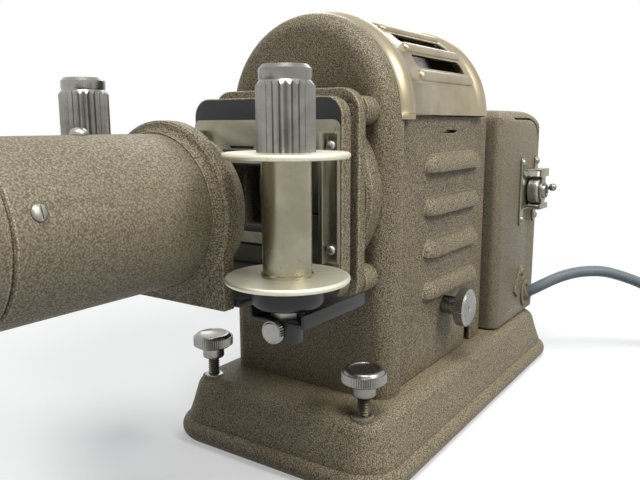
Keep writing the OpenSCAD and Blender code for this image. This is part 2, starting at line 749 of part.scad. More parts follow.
module picture_cut(grow) {
  w = frame_w + grow;
  h = frame_h + grow;
  block([-w / 2, gate_face - 10, axis_z - h / 2], [w / 2, rear_plate_y + 1, axis_z + h / 2]);
}
module rear_plate() {
  color(paint) difference() {
    plate_y([-plate_half, rear_plate_z[0]], [plate_half, rear_plate_z[1]], 9, channel_y, rear_plate_y);
    picture_cut(4);
    for (x = [-post_x, post_x], z = post_z) rod_y(x, z, stud_r + slack, channel_y - 1, rear_plate_y + 1);
  }
}
module channel_rails() {
  half = plate_half - 8;
  color(black) for (z = [front_plate_z[0], front_plate_z[1] - rail_h])
    block([-half, front_plate_y, z], [half, channel_y, z + rail_h]);
}
module front_plate() {
  color(black) difference() {
    plate_y([-plate_half, front_plate_z[0]], [plate_half, front_plate_z[1]], 7.5, gate_y, front_plate_y);
    picture_cut(2);
    for (side = [-1, 1], z = gate_screw_z) rod_y(side * gate_screw_x, z, 1.2 + slack, gate_y - 1, gate_y + 4);
  }
}
module gate_plate() {
  color(nickel) difference() {
    plate_y([-gate_half, gate_z[0]], [gate_half, gate_z[1]], 3, gate_face, gate_y);
    picture_cut(0);
    block([-16.5, gate_face - 1, axis_z + 18.4], [-4.3, gate_y + 1, axis_z + 19.4]);
    for (side = [-1, 1]) block([side * 25.7 - 2.2, gate_face - 1, axis_z - 5.9], [side * 25.7 + 2.2, gate_y + 1, axis_z - 4.9]);
    for (side = [-1, 1], z = gate_screw_z) rod_y(side * gate_screw_x, z, 1.2 + slack, gate_face - 1, gate_y + 1);
  }
}
module film_guides() {
  color(nickel) both_sides() difference() {
    union() {
      block([guide_x[0], gate_face - guide_t, guide_z[0]], [guide_x[1], gate_face, guide_z[1]]);
      block([guide_x[0], gate_face - guide_t - guide_rise, guide_z[0]], [guide_x[0] + guide_rib, gate_face, guide_z[1]]);
      block([guide_x[0], gate_face - guide_t - 1.6, guide_z[1] - 1.2], [guide_x[1], gate_face, guide_z[1]]);
    }
    for (z = gate_screw_z) rod_y(gate_screw_x, z, 1.2 + slack, gate_face - 5, gate_face + 1);
  }
}
module gate_screws() {
  seat_y = gate_face - guide_t;
  color(steel) for (side = [-1, 1], z = gate_screw_z) difference() {
    turned_y(side * gate_screw_x, z) polygon(concat([[0, gate_y + 3], [1.2, gate_y + 3], [1.2, seat_y], [1.85, seat_y]],
      curve([1.85, seat_y - 0.4], [1.6, seat_y - 1.5], [0, seat_y - 1.5], 5)));
    translate([side * gate_screw_x, seat_y - 1.4, z]) rotate([0, 35, 0]) cube([6, 1, 0.5], center = true);
  }
}
module pin_places() {
  for (x = [-guide_pin_x, guide_pin_x], z = [axis_z - guide_pin_z, axis_z + guide_pin_z - 0.6])
    translate([x, 0, z]) children();
}
module pressure_studs() {
  color(steel) pin_places() turned_y(0, 0) polygon([[0, gate_face], [guide_pin_r, gate_face],
    [guide_pin_r, pin_head_y], [2.7, pin_head_y], [2.7, pin_head_y - 0.8], [2.1, pin_head_y - 1.2], [0, pin_head_y - 1.2]]);
}
module pressure_plate() {
  color(black) difference() {
    block([-pressure_half, pressure_front, pressure_z[0]], [pressure_half, pressure_back, pressure_z[1]]);
    picture_cut(0);
    pin_places() rod_y(0, 0, guide_pin_r + run, pressure_front - 1, pressure_back + 1);
  }
}
module pressure_springs() {
  spring_t = 0.5;
  spring_h = 4.4;
  span = 2 * (pressure_half - 1);
  bow = concat([for (i = [0:12]) [span * (i / 12 - 0.5), pressure_front - leaf_rise * pow(2 * i / 12 - 1, 2)]],
    [for (i = [12:-1:0]) [span * (i / 12 - 0.5), pressure_front - spring_t - (leaf_rise - spring_t) * pow(2 * i / 12 - 1, 2)]]);
  color(nickel) for (z = [axis_z - guide_pin_z, axis_z + guide_pin_z - 0.6]) difference() {
    translate([0, 0, z - spring_h / 2]) linear_extrude(spring_h) polygon(bow);
    for (x = [-guide_pin_x, guide_pin_x]) rod_y(x, z, guide_pin_r + 0.3, pressure_front - 5, pressure_front + 1);
  }
}

// Lens head
module head_shelf() {
  color(black) difference() {
    union() {
      block([-shelf_half, bracket_y[1], shelf_z[0]], [shelf_half, gate_y, shelf_z[1]]);
      block([-shelf_half + 5, gate_y - 3, front_plate_z[0] + 0.5], [shelf_half - 5, gate_y, shelf_z[0] + 1]);
    }
    for (side = [-1, 1]) block([side * 20 - 5, bracket_y[1] + 10, 0], [side * 20 + 5, gate_y - 18, axis_z]);
  }
}
module lens_bracket() {
  color(paint) difference() {
    union() {
      rod_y(0, axis_z, bracket_r, bracket_y[0], bracket_y[1]);
      block([-bracket_half, bracket_y[0], bracket_foot], [bracket_half, bracket_y[1], axis_z]);
      turned_y(0, axis_z) polygon(concat([[lens_r, bracket_y[0]], [bracket_r - 0.6, bracket_y[0]]],
        curve([bracket_r - 0.8, bracket_y[0] - 0.2], [lens_r + 0.7, bracket_y[0] - 0.5], [lens_r + 0.4, bracket_y[0] - 3], 6),
        [[lens_r, bracket_y[0] - 3]]));
    }
    rod_y(0, axis_z, lens_r + slack, bracket_y[0] - 4, bracket_y[1] + 1);
  }
}
module guide_screw_place() {
  translate([0, guide_screw_y, axis_z]) rotate([0, 90 - guide_angle, 0]) children();
}
module lens_sleeve() {
  neck_y = sleeve_front - neck_l;
  color(paint) difference() {
    turned_y(0, axis_z) polygon([[bore_r, neck_y], [neck_r - run, neck_y], [neck_r - run, sleeve_front],
      [lens_r - 0.6, sleeve_front], [lens_r, sleeve_front + 0.6], [lens_r, sleeve_back], [bore_r, sleeve_back]]);
    guide_screw_place() rod_z(0, 0, guide_tip_r + slack, bore_r - 1, lens_r + 2);
    rod_z(0, top_screw_y, 1.3 + slack, axis_z + bore_r - 1, axis_z + lens_r + 1);
  }
}
module screw_head(r, h) {
  difference() {
    turned_z(0, 0) polygon(concat([[0, 0], [r, 0]], curve([r, h * 0.25], [r * 0.85, h], [0, h], 5)));
    translate([0, 0, h]) cube([3 * r, 0.7, 0.9], center = true);
  }
}
module lens_screws() {
  color(steel) {
    guide_screw_place() {
      rod_z(0, 0, guide_tip_r, cell_in + 0.6, lens_r + 0.3);
      translate([0, 0, lens_r + 0.1]) screw_head(2.2, 0.9);
    }
    translate([0, top_screw_y, axis_z]) {
      rod_z(0, 0, 1.3, bore_r + 0.4, lens_r + 0.3);
      translate([0, 0, lens_r + 0.1]) screw_head(2.6, 2);
    }
  }
}
module focus_ring() {
  back_y = sleeve_front - ring_gap;
  neck_y = sleeve_front - neck_l - part_gap;
  color(paint) turned_y(0, axis_z) polygon([[neck_r, back_y], [lens_r - 0.6, back_y], [lens_r, back_y - 0.6],
    [lens_r, ring_front + 5], [lens_r + 0.5, ring_front + 4.4], [lens_r + 0.5, ring_front + 0.8],
    [lens_r - 0.2, ring_front], [bore_r + 0.4, ring_front], [bore_r + 0.2, neck_y], [neck_r, neck_y]]);
}
module lens_cell() {
  slot_r = guide_tip_r + part_gap;
  color(black) difference() {
    turned_y(0, axis_z) polygon([[cell_in - 1, cell_y[0]], [cell_r - 0.5, cell_y[0]], [cell_r, cell_y[0] + 0.5],
      [cell_r, cell_y[1]], [cell_in, cell_y[1]], [cell_in, cell_y[0] + 9], [cell_in - 1, cell_y[0] + 9]]);
    guide_screw_place() translate([0, 0, cell_in - 3]) linear_extrude(8) {
      translate([-slot_r, 0]) square([2 * slot_r, focus_travel]);
      for (y = [0, focus_travel]) translate([0, y]) circle(slot_r);
    }
  }
}
module objective_lenses() {
  r = cell_in - slack;
  front_rim = cell_y[0] + 10.2;
  back_rim = cell_y[1] - 8;
  color(clear_glass) {
    turned_y(0, axis_z) polygon(concat([[r, front_rim], [r, front_rim + 4], [0, front_rim + 6]],
      curve([0, front_rim - 4], [r * 0.5, front_rim - 4], [r, front_rim], 10)));
    turned_y(0, axis_z) polygon(concat([[r, back_rim + 4], [r, back_rim], [0, back_rim - 2]],
      curve([0, back_rim + 8], [r * 0.5, back_rim + 8], [r, back_rim + 4], 10)));
  }
}

// Film spools
module spool_place(side) {
  translate([side * spool_x, spool_y, 0]) children();
}
module spool_arms() {
  color(black) difference() {
    union() {
      block([-spool_x, bar_y[0], arm_z], [spool_x, bar_y[1], shelf_z[0]]);
      for (side = [-1, 1]) spool_place(side) {
        block([-arm_half, -arm_front, arm_z], [arm_half, bar_y[1] - spool_y, shelf_z[0]]);
        both_sides() block([arm_half - arm_lip_t, -arm_front, arm_z], [arm_half, bar_y[1] - spool_y, arm_z + arm_lip]);
        rod_z(0, 0, hub_r, arm_z - hub_h, arm_z + 0.5);
      }
    }
    for (side = [-1, 1]) spool_place(side) {
      rod_z(0, 0, spindle_r + slack, arm_z - hub_h - 1, shelf_z[0] + 1);
      rod_y(0, brake_z, 1.7, -hub_r - 1, 0);
    }
  }
}
module spool_spindles() {
  color(steel) for (side = [-1, 1]) spool_place(side) {
    rod_z(0, 0, spindle_r, arm_z - hub_h, spindle_top);
    rotate([0, 0, nut_turn]) translate([0, 0, nut_z]) cylinder(r = nut_r, h = nut_h, $fn = 6);
  }
}
module spool_seats() {
  z0 = nut_z + nut_h;
  color(black) for (side = [-1, 1]) spool_place(side) turned_z(0, 0) polygon(concat(
    [[spindle_r + slack, z0], [seat_r - 4, z0]],
    curve([seat_r - 3.6, z0 + 0.1], [seat_r - 0.6, z0 + 0.3], [seat_r, z0 + 1.6], 5),
    [[seat_r + 0.3, z0 + 2.2], [seat_r, seat_top - 1], [seat_r - 1, seat_top], [spindle_r + slack, seat_top]]));
}
module brake_screws() {
  color(bright) for (side = [-1, 1]) spool_place(side) {
    turned_y(0, brake_z) polygon([[0, -spindle_r - 0.1], [1.6, -spindle_r - 0.1], [1.6, brake_y],
      [brake_r - 0.5, brake_y], [brake_r - 0.5, brake_y - 2.1], [brake_r - 0.9, brake_y - 2.4], [0, brake_y - 2.4]]);
    translate([0, brake_y - 0.2, brake_z]) rotate([90, 0, 0]) linear_extrude(1.8) difference() {
      polygon(toothed(brake_r, 0.3, 30));
      circle(brake_r - 1);
    }
  }
}
module spool_core(side) {
  cap_z = knob_z + knob_h;
  color(nickel) spool_place(side) difference() {
    union() {
      rod_z(0, 0, neck_of_core, lower_flange_z, knob_z);
      turned_z(0, 0) polygon([[0, lower_flange_z + flange_t], [core_r + 0.5, lower_flange_z + flange_t],
        [core_r + 0.5, lower_flange_z + flange_t + 0.8], [core_r, lower_flange_z + flange_t + 1.2],
        [core_r, upper_flange_z], [0, upper_flange_z]]);
      intersection() {
        translate([0, 0, knob_z]) linear_extrude(knob_h) polygon(fluted(knob_r, 0.9, flute_count));
        turned_z(0, 0) polygon([[0, knob_z], [knob_r + 1, knob_z], [knob_r + 1, cap_z - 3.2], [cap_r - 0.4, cap_z], [0, cap_z]]);
      }
      turned_z(0, 0) polygon([[0, cap_z - 1], [cap_r - 0.5, cap_z - 1], [cap_r, cap_z + 0.4], [cap_r, cap_z + cap_h - 1.2],
        [cap_r - 1.2, cap_z + cap_h], [cap_r - 2, cap_z + cap_h], [cap_r - 2.6, cap_z + cap_h - 0.5], [0, cap_z + cap_h - 0.5]]);
    }
    rod_z(0, 0, spindle_r + run, lower_flange_z - 1, spindle_top + 0.5);
  }
}
module spool_flanges(side) {
  color(nickel) spool_place(side) for (z = [lower_flange_z, upper_flange_z]) turned_z(0, 0) polygon(concat(
    [[neck_of_core, z]], arc([flange_r - flange_t / 2, z + flange_t / 2], flange_t / 2, -90, 90, 8),
    [[neck_of_core, z + flange_t]]));
}

// Blower box
module box_side_outline(o) {
  y0 = box_front + o;
  y1 = box_back - o;
  z0 = box_z + o;
  z1 = box_top - o;
  polygon([[y0, z0], [box_back - box_foot_r, z0], [y1, box_z + box_foot_r], [y1, box_top - box_top_r],
    [box_back - box_top_r, z1], [box_front + box_edge_r, z1], [y0, box_top - box_edge_r]]);
  translate([box_back - box_foot_r, box_z + box_foot_r]) circle(box_foot_r - o);
  translate([box_back - box_top_r, box_top - box_top_r]) circle(box_top_r - o);
  translate([box_front + box_edge_r, box_top - box_edge_r]) circle(box_edge_r - o);
}
module box_solid(o) {
  intersection() {
    translate([-box_half, 0, 0]) rotate([90, 0, 90]) linear_extrude(box_w) box_side_outline(o);
    plate_y([o - box_half, box_z - 20], [box_half - o, box_top - o], 9 - o, box_front - 1, box_back + 1);
    translate([0, 0, box_z - 1]) linear_extrude(box_h + 2)
      round_rect([o - box_half, box_front + o], [box_half - o, box_back - o], 5.5 - o);
  }
}
module cover_region(o) {
  translate([-box_half - 1, 0, 0]) rotate([90, 0, 90]) linear_extrude(box_w + 2) difference() {
    translate([seam_front - o, seam_foot - o]) square([box_l, box_h]);
    box_side_outline(seam_in + o);
  }
}
module relief_bore() {
  translate([box_half, lead_y, lead_z]) rotate([0, 90 - lead_tilt, 0]) translate([0, 0, -relief_l])
    cylinder(r = relief_r + slack, h = 2 * relief_l);
}
module blower_box() {
  color(paint) difference() {
    box_solid(0);
    box_solid(sheet);
    cover_region(seam_gap);
    rod_y(0, duct_z, duct_r + 3.2, box_front - 1, box_front + 3);
    relief_bore();
    rod_x(switch_y, switch_z, 4, box_half - 4, box_half + 1);
    for (p = deck_screw_places) rod_z(p.x, p.y, 2 + slack, box_z - 1, box_z + 3);
  }
}
module back_cover() {
  color(paint) difference() {
    union() {
      intersection() {
        difference() {
          box_solid(0);
          box_solid(sheet);
        }
        cover_region(0);
      }
      intersection() {
        difference() {
          box_solid(sheet + 0.05);
          box_solid(2 * sheet);
        }
        translate([-box_half - 1, 0, 0]) rotate([90, 0, 90]) linear_extrude(box_w + 2) difference() {
          translate([seam_front + 1, seam_foot + 1]) square([box_l, box_h]);
          box_side_outline(seam_in + 1.8);
        }
      }
    }
    for (i = [0:5]) plate_y([-24, 60 + 7 * i], [24, 63 + 7 * i], 1.4, box_back - 6, box_back + 1);
  }
}
module blower_motor() {
  plate = motor_y[0];
  color(steel) {
    difference() {
      union() {
        turned_y(0, duct_z) polygon([[0, plate], [motor_r - 4, plate], [motor_r, plate + 4], [motor_r, motor_y[1] - 5],
          [motor_r - 6, motor_y[1]], [0, motor_y[1]]]);
        block([sheet + 0.3 - box_half, plate - 2, duct_z - 12], [box_half - sheet - 0.3, plate, duct_z + 12]);
        for (side = [0, 1]) mirror([side, 0, 0])
          block([box_half - sheet - 1.9, plate - 2, duct_z - 12], [box_half - sheet - 0.3, plate + 10, duct_z + 12]);
      }
      rod_y(0, duct_z, shaft_r + run, plate - 3, plate + 12);
    }
  }
}
module fan_wheel() {
  color(steel) {
    rod_y(0, duct_z, hub_fan_r, fan_y[0], fan_y[1]);
    rod_y(0, duct_z, shaft_r, fan_y[1] - 0.5, motor_y[0] + 11.5);
    for (i = [0:fan_blades - 1]) translate([0, 0, duct_z]) rotate([0, i * 360 / fan_blades, 0])
      translate([0, (fan_y[0] + fan_y[1]) / 2, hub_fan_r - 1]) rotate([0, 0, 35])
        translate([-5, -0.6, 0]) cube([10, 1.2, fan_r - hub_fan_r + 1]);
  }
}
module duct_collar() {
  color(black) turned_y(0, duct_z) translate([duct_r, house_back]) square([3, box_front - house_back + sheet]);
}

// Switch
module switch_bracket() {
  face = box_half;
  color(steel) difference() {
    union() {
      for (y = [switch_y - 13.8, switch_y + 11.6]) {
        plate_x(y - 2.4, y + 2.4, switch_z - 19.5, switch_z + 20, face, face + 1.2);
        for (z = [switch_z - 16, switch_z + 17]) translate([face + 1.2, y, z]) rotate([0, 90, 0]) screw_head(2, 1.4);
      }
      block([face, switch_y - 14, switch_z - 10.6], [face + 1.2, switch_y + 12, switch_z + 13]);
      block([face, switch_y - 6, switch_z + 11.8], [face + 9.4, switch_y + 9, switch_z + 13]);
      block([face, switch_y - 6, switch_z - 10.6], [face + 9.4, switch_y + 9, switch_z - 9.4]);
      block([face + 8.2, switch_y - 3, switch_z - 10.6], [face + 9.4, switch_y + 3, switch_z + 13]);
      block([face + 8.2, switch_y - 6, switch_z + 8.4], [face + 9.4, switch_y + 9, switch_z + 13]);
      block([face + 8.2, switch_y - 6, switch_z - 10.6], [face + 9.4, switch_y + 9, switch_z - 7.4]);
      rod_x(switch_y, switch_z, 6.2, face + 8.2, face + 9.4);
    }
    rod_x(switch_y, switch_z, 4.4, face - 1, face + 12);
  }
}
module switch_body() {
  face = box_half;
  color(bright) turned_x(switch_y, switch_z) difference() {
    polygon([[0, face - 3], [3.8, face - 3], [3.8, face + 1.3], [7.5, face + 1.3], [8.5, face + 2.3], [8.5, face + 7.3],
      [7.6, face + 8.1], [4.2, face + 8.1], [4.2, face + bushing_out], [0, face + bushing_out]]);
    polygon([[0, face + 3.4], [3, face + 3.4], [3.5, face + bushing_out + 1], [0, face + bushing_out + 1]]);
  }
}
module switch_lever() {
  color(bright) translate([lever_pivot, switch_y, switch_z]) rotate([0, 90 - lever_rest, 0]) {
    rod_y(0, 0, 2.2, -1.6, 1.6);
    rod_y(0, 0, lever_pin_r, -2.6, 2.6);
    rotate_extrude() polygon(concat([[0, 0], [1.15, 0], [1, 4]], arc([0, lever_l], lever_ball_r, -66, 90, 12)));
  }
}

// Mains lead
module cord_clamp() {
  face = box_half;
  color(nickel) {
    difference() {
      union() {
        plate_x(lead_y - 7.4, lead_y + 7.4, lead_z - 7.2, lead_z + 8.4, face, face + 1.2);
        translate([face, lead_y - 10.4, lead_z + 15.3]) rotate([0, 90, 0]) cylinder(r = 4.2, h = 1.2);
        translate([face, lead_y - 10.4, lead_z + 15.3]) rotate([56, 0, 0]) translate([0, -0.5, -4])
          mirror([0, 1, 0]) cube([1.2, 14, 8]);
      }
      relief_bore();
    }
    translate([face + 1.2, lead_y - 10.4, lead_z + 15.3]) rotate([0, 90, 0]) screw_head(2.2, 1.5);
  }
  color(rubber) translate([face, lead_y, lead_z]) rotate([0, 90 - lead_tilt, 0])
    rotate_extrude() polygon([[0, relief_out - relief_l], [relief_r - 0.3, relief_out - relief_l], [relief_r, -1],
      [cord_r + 0.5, relief_out], [0, relief_out]]);
}

function unit(v) = v / norm(v);
function heading(p, i) = unit(p[min(i + 1, len(p) - 1)] - p[max(i - 1, 0)]);
function ring(c, d, r, n) =
  let (side = unit(cross(d, [0, 0, 1])), up = cross(side, d))
  [for (k = [0:n - 1]) c + r * (cos(360 * (k + 0.5) / n) * side + sin(360 * (k + 0.5) / n) * up)];
module tube(path, r, n, first, last) {
  count = len(path);
  way = [for (i = [0:count - 1]) i == 0 ? first : i == count - 1 ? last : heading(path, i)];
  points = [for (i = [0:count - 1]) each ring(path[i], way[i], r, n)];
  walls = [for (i = [0:count - 2], k = [0:n - 1]) let (a = i * n + k, b = i * n + (k + 1) % n)
    each [[a, a + n, b], [b, a + n, b + n]]];
  start = [for (k = [1:n - 2]) [0, k, k + 1]];
  tip = (count - 1) * n;
  end = [for (k = [1:n - 2]) [tip, tip + k + 1, tip + k]];
  polyhedron(points = points, faces = concat(start, walls, end), convexity = 10);
}

// Radius, height and place of the coil after t turns
function coil_radius(t) =
  t < coil_turns ? coil_r - coil_pitch * t :
  t < coil_turns + coil_half ?
    let (s = t - coil_turns) coil_r - coil_pitch * (coil_turns + s * (1 - s / coil_half)) :
  coil_r - coil_pitch * (2 * coil_turns + coil_half - t);
function climb(s) = s * s * (3 - 2 * s);
function coil_height(t) = coil_floor + coil_pitch * climb(min(max((coil_turns + coil_half - t) / coil_half, 0), 1));
function coil_point(t) =
  [coil_x + coil_radius(t) * cos(90 - 360 * t), coil_y + coil_radius(t) * sin(90 - 360 * t), coil_height(t)];
coil_steps = round(total_turns * coil_rings);
coil_turn_points = [for (i = [0:coil_steps]) coil_point(i / coil_rings)];
tail_heading = unit(coil_point(total_turns) - coil_point(total_turns - 0.002));
function tail_point(s) =
  coil_point(total_turns) + s * tail_heading + [0, 0, coil_pitch * climb(min(s / (tail_l - cord_d), 1))];
coil_end = tail_point(tail_l);
coil_path = concat([lead_end, lead_end + [cord_d, 0, 0]], [for (i = [1:coil_steps]) coil_turn_points[i]],
  [for (i = [1:tail_rings]) tail_point((tail_l - cord_d) * i / tail_rings)], [coil_end]);

// Least distance between two stretches of the coil that are not neighbours
coil_gap = min([for (i = [0:coil_steps - 1], j = [i + 8:coil_steps])
  norm(coil_turn_points[i] - coil_turn_points[j])]) - cord_d;
function path_length(p) = [for (i = [0:len(p) - 2]) norm(p[i + 1] - p[i])] * [for (i = [0:len(p) - 2]) 1];
echo(coil_gap = coil_gap, cord_length = path_length(lead_route) + path_length(coil_path));

module cord_lead() {
  color(rubber) tube(lead_route, cord_r, 10, [cos(lead_tilt), 0, sin(lead_tilt)], [1, 0, 0]);
}
module cord_coil() {
  color(rubber) tube(coil_path, cord_r, 6, [1, 0, 0], tail_heading);
}
module plug() {
  turn = atan2(tail_heading.y, tail_heading.x);
  plug_r = coil_end.z - 0.1;
  color(rubber) translate(coil_end) rotate([0, 0, turn]) {
    rotate([0, 90, 0]) rotate_extrude() polygon(concat([[0, 0], [cord_r + 0.8, 0]],
      curve([cord_r + 1, 10], [cord_r + 2, 18], [plug_r - 1, 24], 5),
      [[plug_r, 26], [plug_r, 36], [plug_r - 0.8, 37], [0, 37]]));
  }
  color(brass) translate(coil_end) rotate([0, 0, turn]) for (side = [-1, 1])
    block([36, side * 6.35 - 0.75, -3.2], [54, side * 6.35 + 0.75, 3.2]);
}

base_pan();
bottom_plate();
deck_screws();
screw_bushings();
elevating_screw(1);  // elevating_screw_right
elevating_screw(-1);  // elevating_screw_left
swivel_pad(1);  // swivel_pad_right
swivel_pad(-1);  // swivel_pad_left
front_shell();
side_panel_right();
side_panel_left();
rear_wall();
top_cover();
hinge_leaf();
hinge_pin();
panel_screw();
lamp_bulb();
lamp_base();
lamp_socket();
socket_bracket();
reflector();
condenser_barrel();
condenser_lenses();
mounting_posts();
rear_plate();
channel_rails();
front_plate();
gate_plate();
film_guides();
gate_screws();
pressure_studs();
pressure_plate();
pressure_springs();
head_shelf();
lens_bracket();
lens_sleeve();
lens_screws();
focus_ring();
lens_cell();
objective_lenses();
spool_arms();
spool_spindles();
spool_seats();
brake_screws();
spool_core(1);  // spool_core_right
spool_flanges(1);  // spool_flanges_right
spool_core(-1);  // spool_core_left
spool_flanges(-1);  // spool_flanges_left
blower_box();
back_cover();
blower_motor();
fan_wheel();
duct_collar();
switch_bracket();
switch_body();
switch_lever();
cord_clamp();
cord_lead();
cord_coil();
plug();
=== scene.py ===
import json
import math

import bmesh
import bpy
from mathutils import Matrix, Vector


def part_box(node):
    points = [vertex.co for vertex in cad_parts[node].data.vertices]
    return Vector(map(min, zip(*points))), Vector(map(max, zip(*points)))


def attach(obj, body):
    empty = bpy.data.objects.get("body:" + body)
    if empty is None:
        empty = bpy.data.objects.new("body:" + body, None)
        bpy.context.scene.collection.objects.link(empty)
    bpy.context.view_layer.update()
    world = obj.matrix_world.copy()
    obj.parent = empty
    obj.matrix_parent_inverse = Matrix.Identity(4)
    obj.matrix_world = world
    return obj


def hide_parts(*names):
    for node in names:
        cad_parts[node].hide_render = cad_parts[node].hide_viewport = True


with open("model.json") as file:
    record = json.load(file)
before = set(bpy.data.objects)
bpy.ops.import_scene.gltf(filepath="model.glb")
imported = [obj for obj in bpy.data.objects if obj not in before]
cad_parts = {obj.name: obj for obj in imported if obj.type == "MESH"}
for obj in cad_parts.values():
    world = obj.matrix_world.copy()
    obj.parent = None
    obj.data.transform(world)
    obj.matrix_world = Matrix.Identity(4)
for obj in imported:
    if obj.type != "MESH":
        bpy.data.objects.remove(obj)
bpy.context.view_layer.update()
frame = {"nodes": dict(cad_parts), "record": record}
nodes = frame["nodes"]

# The body that each CAD node rides on, as the record has it
bodies = frame["record"]["behaviour"]["bodies"]
node_body = {node: body for body, members in bodies.items() for node in members}

MM = 0.001

# The camera, solved from the edges of the whole object; its focal length is a share of the picture's width
CAMERA_PLACE = Vector((167.527, -312.478, 143.156)) * MM
CAMERA_TURN = math.radians(34.386)
CAMERA_PITCH = math.radians(9.854)
CAMERA_ROLL = math.radians(-0.184)
SENSOR = 36.0
FOCAL_SHARE = 665.68 / 640

# The mains lead, as the part's source has it, in millimetres
CORD_D = 6.5
LEAD_ROUTE = [
    (48.3, 88.4, 41.6), (51.7, 88.5, 43.7), (55, 89.3, 45.8), (60, 91.8, 48.9), (65, 95.2, 51.5),
    (70.5, 99.3, 53.5), (76, 103.2, 54.6), (82, 107.6, 54.9), (88, 112.9, 54), (94.5, 118.9, 51.5),
    (100, 124.3, 48.8), (104.5, 129, 46.2), (110, 134.5, 42.6), (116, 140, 38.2), (122.5, 145.5, 32.8),
    (129, 150.5, 27.1), (135.5, 155, 21.6), (142, 159, 17.1), (149, 162.7, 13.6), (156, 165.8, 11.3),
    (163.5, 167.2, 10.5),
]
COIL_R = 48.0
COIL_PITCH = 7.1
COIL_TURNS = 3.375
COIL_HALF = 0.5
COIL_FLOOR = 3.4
COIL_STEPS = 32
LEAD_STEPS = 3
TAIL = 42.0
TAIL_STEPS = 12


def srgb(red, green, blue):
    """A colour given from 0 to 255, as the linear colour that nodes take."""
    def linear(value):
        share = value / 255
        return share / 12.92 if share <= 0.04045 else ((share + 0.055) / 1.055) ** 2.4
    return (linear(red), linear(green), linear(blue), 1.0)


# Camera


def place_camera():
    right = Vector((math.cos(CAMERA_TURN), math.sin(CAMERA_TURN), 0))
    ahead = Vector((
        -math.sin(CAMERA_TURN) * math.cos(CAMERA_PITCH),
        math.cos(CAMERA_TURN) * math.cos(CAMERA_PITCH),
        -math.sin(CAMERA_PITCH),
    ))
    up = right.cross(ahead)
    rolled_right = right * math.cos(CAMERA_ROLL) + up * math.sin(CAMERA_ROLL)
    rolled_up = up * math.cos(CAMERA_ROLL) - right * math.sin(CAMERA_ROLL)
    data = bpy.data.cameras.new("camera")
    data.sensor_width = SENSOR
    data.lens = SENSOR * FOCAL_SHARE
    data.clip_start = 0.01
    data.clip_end = 20
    camera = bpy.data.objects.new("camera", data)
    bpy.context.scene.collection.objects.link(camera)
    turn = Matrix((rolled_right, rolled_up, -ahead)).transposed().to_4x4()
    camera.matrix_world = Matrix.Translation(CAMERA_PLACE) @ turn
    bpy.context.scene.camera = camera


place_camera()


# Shader building

# A Mix node carries sockets for every kind of data, and these are the ones it uses for colours
MIX_COLOUR_INPUTS = (0, 6, 7)
MIX_COLOUR_OUTPUT = 2


class Shader:
    """Adds nodes to a material or to a node group and joins them."""

    def __init__(self, tree):
        self.tree = tree

    def node(self, kind, settings=None):
        made = self.tree.nodes.new(kind)
        for name, value in (settings or {}).items():
            setattr(made, name, value)
        return made

    def put(self, node, name, value):
        """Gives the input of that name or number a plain value, or joins an output to it."""
        socket = node.inputs[name]
        if isinstance(value, bpy.types.NodeSocket):
            self.tree.links.new(value, socket)
        else:
            socket.default_value = value

    def math(self, operation, a, b=None, clamp=False):
        made = self.node("ShaderNodeMath", {"operation": operation, "use_clamp": clamp})
        self.put(made, 0, a)
        if b is not None:
            self.put(made, 1, b)
        return made.outputs[0]

    def ramp(self, value, low, high, to_low=0.0, to_high=1.0):
        made = self.node("ShaderNodeMapRange", {"interpolation_type": "SMOOTHSTEP"})
        for name, given in (("Value", value), ("From Min", low), ("From Max", high), ("To Min", to_low),
                            ("To Max", to_high)):
            self.put(made, name, given)
        return made.outputs["Result"]

    def mix(self, share, a, b, blend="MIX"):
        made = self.node("ShaderNodeMix", {"data_type": "RGBA", "blend_type": blend})
        for number, given in zip(MIX_COLOUR_INPUTS, (share, a, b)):
            self.put(made, number, given)
        return made.outputs[MIX_COLOUR_OUTPUT]

    def noise(self, vector, scale, detail=2.0, roughness=0.5, distortion=0.0):
        made = self.node("ShaderNodeTexNoise")
        for name, given in (("Vector", vector), ("Scale", scale), ("Detail", detail), ("Roughness", roughness),
                            ("Distortion", distortion)):
            self.put(made, name, given)
        return made.outputs["Fac"]


def new_group(name, inputs, outputs):
    """A shader node group with named sockets: (name, kind, value) in, (name, kind) out."""
    tree = bpy.data.node_groups.new(name, "ShaderNodeTree")
    for title, kind, value in inputs:
        socket = tree.interface.new_socket(name=title, in_out="INPUT", socket_type="NodeSocket" + kind)
        socket.default_value = value
    for title, kind in outputs:
        tree.interface.new_socket(name=title, in_out="OUTPUT", socket_type="NodeSocket" + kind)
    shader = Shader(tree)
    return shader, shader.node("NodeGroupInput"), shader.node("NodeGroupOutput")


# What each shared finish puts out
FINISH_OUTPUTS = [("Colour", "Color"), ("Height", "Float"), ("Roughness", "Float")]

# How the height of wrinkle enamel is made up, and the heights of its pits, its ground and its crests
FINE_SHARE = 0.62
LUMP_SHARE = 0.38
PIT_HEIGHT = 0.37
GROUND_HEIGHT = 0.5
CREST_HEIGHT = 0.63


